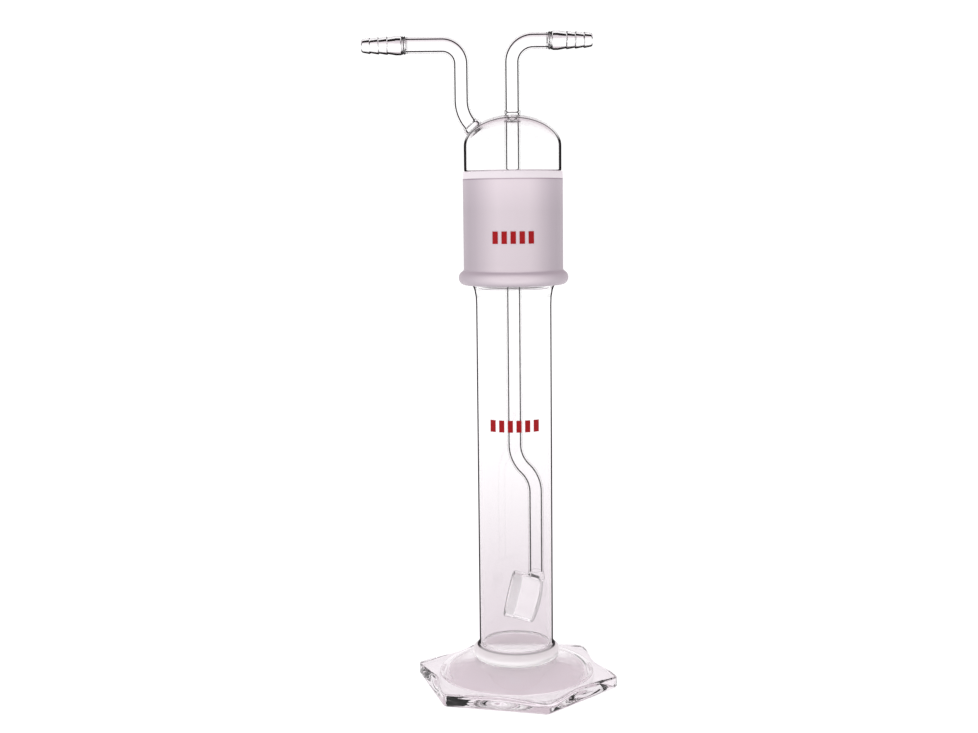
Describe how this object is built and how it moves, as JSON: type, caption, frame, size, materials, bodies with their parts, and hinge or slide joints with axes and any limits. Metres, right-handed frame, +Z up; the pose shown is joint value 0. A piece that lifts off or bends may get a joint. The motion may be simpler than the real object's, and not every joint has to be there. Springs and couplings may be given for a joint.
{
  "type": "gas washing bottle",
  "caption": "Tall-form glass gas washing bottle on a hexagonal foot; its ground-joint head carries hose barbs and a fritted dip tube.",
  "frame": {"origin": "centre of the foot's standing face", "axes": "+Z up along the bottle's axis, +X towards the inlet barb, front towards -Y"},
  "size_m": [0.1255, 0.1006, 0.3311],
  "materials": {
    "clear_glass": "clear, fire-polished",
    "pressed_glass": "clear, pressed",
    "ground_glass": "ground, matt",
    "sintered_glass": "sintered, porous",
    "red_enamel": "fired enamel"
  },
  "bodies": {
    "bottle": {"hex_foot": "pressed_glass", "foot_collar": "pressed_glass", "bottle_tube": "clear_glass", "capacity_mark": "red_enamel"},
    "joint_cone": {"ground_cone": "ground_glass"},
    "head": {"joint_socket": "ground_glass", "joint_mark": "red_enamel", "head_dome": "clear_glass", "ring_seal": "clear_glass", "inlet_tube": "clear_glass", "inlet_weld": "clear_glass", "inlet_hose_barb": "clear_glass", "outlet_weld_ring": "clear_glass", "outlet_tube": "clear_glass", "outlet_weld": "clear_glass", "outlet_hose_barb": "clear_glass", "dip_tube": "clear_glass", "dip_tube_offset": "clear_glass", "frit_weld": "clear_glass", "frit_chamber": "clear_glass", "frit_disc": "sintered_glass"}
  },
  "joints": [
    {"name": "head_turn", "type": "hinge", "parent": "bottle", "child": "joint_cone", "pos_m": [0, 0, 0.2336], "axis": [0, 0, 1], "continuous": true},
    {"name": "head_lift", "type": "slide", "parent": "joint_cone", "child": "head", "axis": [0, 0, 1], "range_m": [0, 0.235]}
  ]
}
